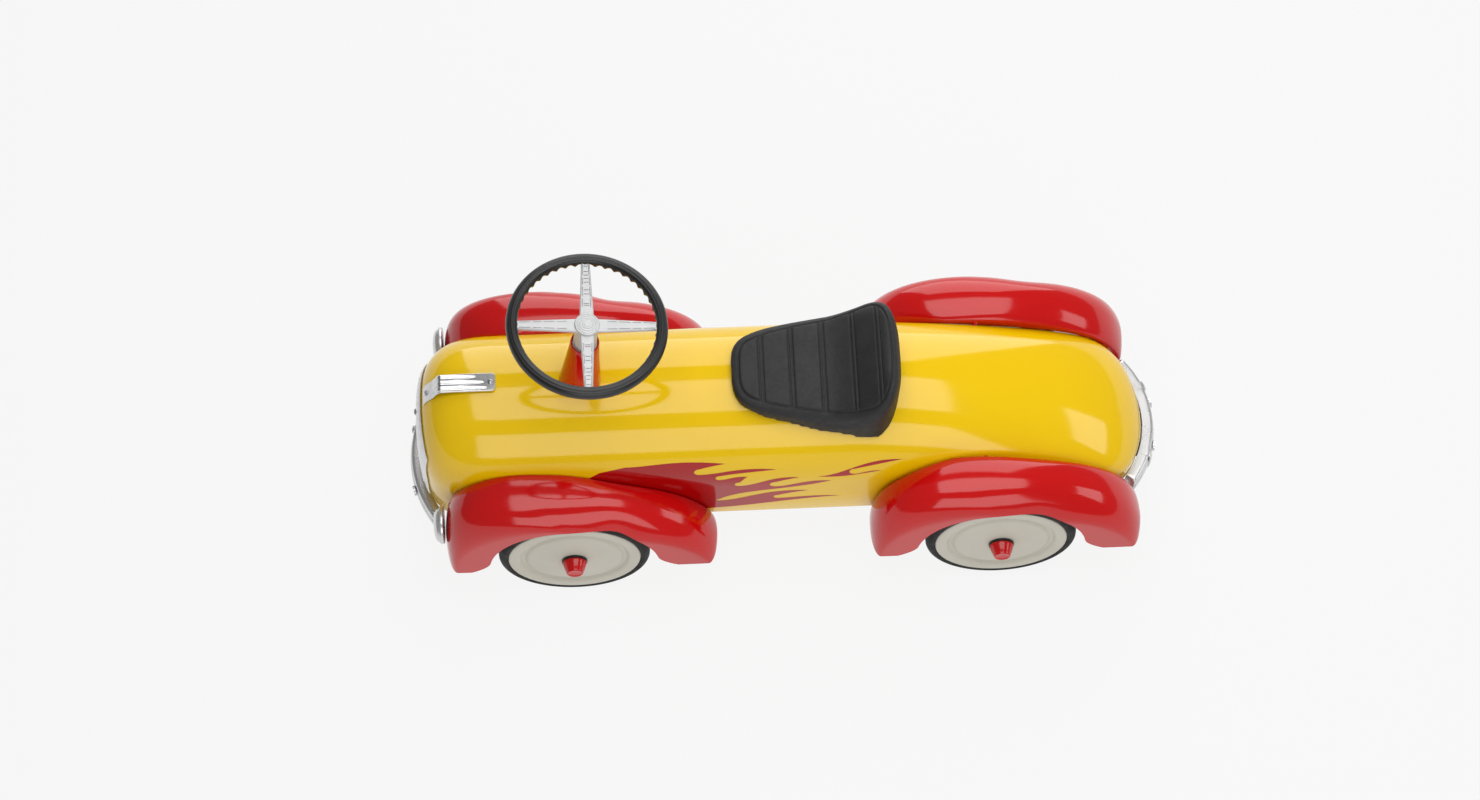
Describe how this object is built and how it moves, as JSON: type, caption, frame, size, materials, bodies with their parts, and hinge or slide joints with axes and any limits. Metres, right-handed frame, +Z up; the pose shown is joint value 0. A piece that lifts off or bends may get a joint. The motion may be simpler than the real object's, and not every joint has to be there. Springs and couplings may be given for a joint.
{
  "type": "toy foot-to-floor car",
  "caption": "Small steel ride-on speedster with a padded deck seat, bolted fenders, chrome bumpers and disc wheels, steered by a wheel on a leaning column.",
  "frame": {"origin": "on the floor below the middle of the car's length and width", "axes": "+X forward, +Y to the driver's left, +Z up"},
  "size_m": [0.7633, 0.292, 0.3444],
  "materials": {
    "body_paint": "gloss",
    "red_paint": "gloss",
    "wheel_paint": "satin",
    "chassis_paint": "satin",
    "chrome": "polished",
    "cast_silver": "satin",
    "zinc": "zinc plated",
    "black_plastic": "gloss",
    "nylon": "matte",
    "tyre_rubber": "matte",
    "seat_cover": "grained"
  },
  "bodies": {
    "chassis": {"body_shell": "body_paint", "front_crossmember": "chassis_paint", "rear_crossmember": "chassis_paint", "crossmember_rivets": "zinc", "front_axle_beam": "chassis_paint", "kingpins": "zinc", "rear_axle": "zinc", "fender_front_left": "red_paint", "fender_front_right": "red_paint", "fender_rear_left": "red_paint", "fender_rear_right": "red_paint", "fender_rivets": "zinc", "grille": "chrome", "grille_screws": "chrome", "hood_ornament": "chrome", "ornament_screws": "chrome", "front_bumper": "chrome", "rear_bumper": "chrome", "rear_overriders": "chrome", "bumper_bars": "chassis_paint", "bumper_bolts": "chrome", "bar_bolts": "zinc", "headlight_left": "chrome", "headlight_right": "chrome", "headlight_nuts": "zinc", "seat_pan": "chassis_paint", "seat_pad": "seat_cover", "seat_bolts": "zinc", "column_cover": "red_paint", "column_upper_bush": "nylon", "column_lower_bush": "nylon", "hub_cap_rear_left": "red_paint", "hub_cap_rear_right": "red_paint", "washers_rear": "black_plastic"},
    "steering": {"steering_shaft": "zinc", "steering_spokes": "cast_silver", "steering_rim": "black_plastic", "steering_cap": "cast_silver"},
    "knuckle_left": {"knuckle_left": "zinc", "hub_cap_front_left": "red_paint", "washer_front_left": "black_plastic"},
    "knuckle_right": {"knuckle_right": "zinc", "hub_cap_front_right": "red_paint", "washer_front_right": "black_plastic"},
    "tie_rod": {"tie_rod": "zinc"},
    "wheel_front_left": {"wheel_front_left": "wheel_paint", "tyre_front_left": "tyre_rubber", "bush_front_left": "nylon"},
    "wheel_front_right": {"wheel_front_right": "wheel_paint", "tyre_front_right": "tyre_rubber", "bush_front_right": "nylon"},
    "wheel_rear_left": {"wheel_rear_left": "wheel_paint", "tyre_rear_left": "tyre_rubber", "bush_rear_left": "nylon"},
    "wheel_rear_right": {"wheel_rear_right": "wheel_paint", "tyre_rear_right": "tyre_rubber", "bush_rear_right": "nylon"}
  },
  "joints": [
    {"name": "steering_column", "type": "hinge", "parent": "chassis", "child": "steering", "pos_m": [0.215, 0, 0.076], "axis": [-0.0993, 0, 0.9951], "range_deg": [-15, 15]},
    {"name": "knuckle_left_pivot", "type": "hinge", "parent": "chassis", "child": "knuckle_left", "pos_m": [0.215, 0.095, 0.076], "axis": [0, 0, 1], "range_deg": [-15, 15]},
    {"name": "knuckle_right_pivot", "type": "hinge", "parent": "chassis", "child": "knuckle_right", "pos_m": [0.215, -0.095, 0.076], "axis": [0, 0, 1], "range_deg": [-15, 15]},
    {"name": "tie_rod_pivot", "type": "hinge", "parent": "knuckle_left", "child": "tie_rod", "pos_m": [0.185, 0.095, 0.07], "axis": [0, 0, 1], "range_deg": [-15, 15]},
    {"name": "wheel_front_left_spin", "type": "hinge", "parent": "knuckle_left", "child": "wheel_front_left", "pos_m": [0.215, 0.12, 0.076], "axis": [0, 1, 0], "continuous": true},
    {"name": "wheel_front_right_spin", "type": "hinge", "parent": "knuckle_right", "child": "wheel_front_right", "pos_m": [0.215, -0.12, 0.076], "axis": [0, 1, 0], "continuous": true},
    {"name": "wheel_rear_left_spin", "type": "hinge", "parent": "chassis", "child": "wheel_rear_left", "pos_m": [-0.2145, 0.12, 0.076], "axis": [0, 1, 0], "continuous": true},
    {"name": "wheel_rear_right_spin", "type": "hinge", "parent": "chassis", "child": "wheel_rear_right", "pos_m": [-0.2145, -0.12, 0.076], "axis": [0, 1, 0], "continuous": true}
  ],
  "couplings": [
    {"joint": "knuckle_left_pivot", "follows": "steering_column", "ratio": 1},
    {"joint": "knuckle_right_pivot", "follows": "steering_column", "ratio": 1},
    {"joint": "tie_rod_pivot", "follows": "steering_column", "ratio": -1}
  ]
}
